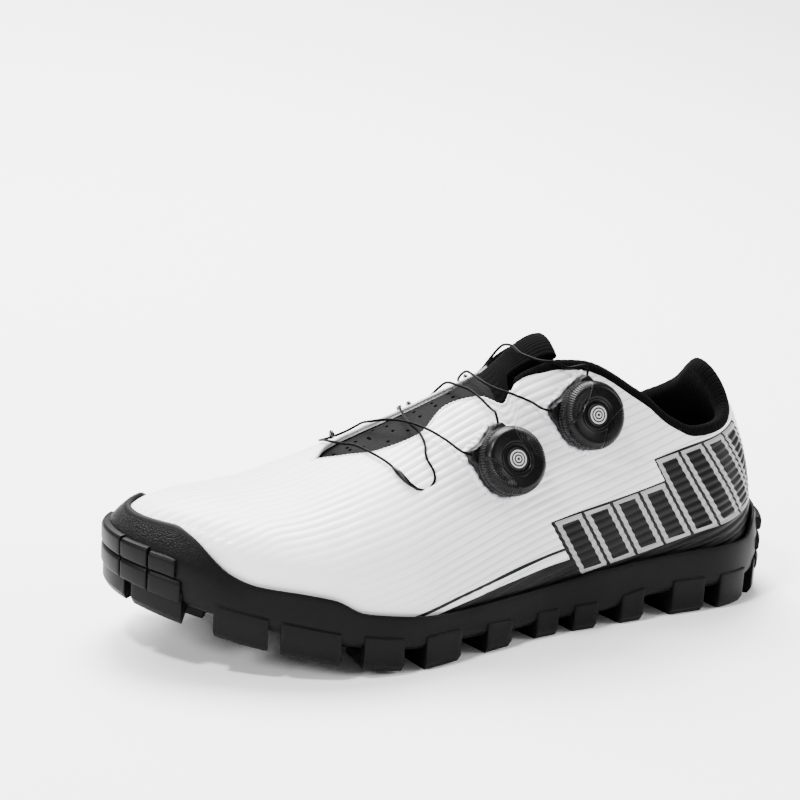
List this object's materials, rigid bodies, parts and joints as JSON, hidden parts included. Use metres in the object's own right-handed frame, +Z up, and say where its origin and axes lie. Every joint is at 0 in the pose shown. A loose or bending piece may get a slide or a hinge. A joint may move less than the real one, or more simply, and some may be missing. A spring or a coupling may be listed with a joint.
{
  "type": "cycling shoe",
  "caption": "Low-cut cycling shoe with a lugged rubber cup sole, a white ribbed upper, side dials with wire laces and a recessed cleat seat.",
  "frame": {"origin": "centre of the footprint of the whole shoe, on the floor it stands on", "axes": "+X from the heel to the toe, +Y to the outer side of the left foot, +Z up"},
  "size_m": [0.3003, 0.11, 0.1197],
  "materials": {
    "outsole_rubber": "matt fine-grained black rubber",
    "arch_nylon": "matt black nylon with fine ribs",
    "carbon_look": "satin black, woven carbon look",
    "nut_steel": "dark steel",
    "insole_foam": "black cloth over foam",
    "white_shell": "white satin synthetic leather with moulded ribs",
    "cuff_knit": "black padded knit",
    "tongue_grey": "dark grey coated cloth with sparse small holes",
    "dial_black": "satin black nylon",
    "dial_grey": "light grey moulded plastic",
    "wire_black": "black coated steel wire",
    "guide_black": "black moulded nylon"
  },
  "bodies": {
    "root": {"outsole": "outsole_rubber", "arch_plate": "arch_nylon", "cleat_plate": "carbon_look", "cleat_nut_plate": "nut_steel", "insole": "insole_foam", "upper": "white_shell", "collar_lining": "cuff_knit", "tongue": "tongue_grey", "dial_front_base": "dial_black", "dial_front_knob": "dial_black", "dial_front_button": "dial_grey", "dial_rear_base": "dial_black", "dial_rear_knob": "dial_black", "dial_rear_button": "dial_grey", "lace_front": "wire_black", "lace_rear": "wire_black", "guide_front_medial": "guide_black", "guide_middle_medial": "guide_black", "guide_rear_medial": "guide_black", "guide_lateral": "guide_black"}
  },
  "joints": []
}
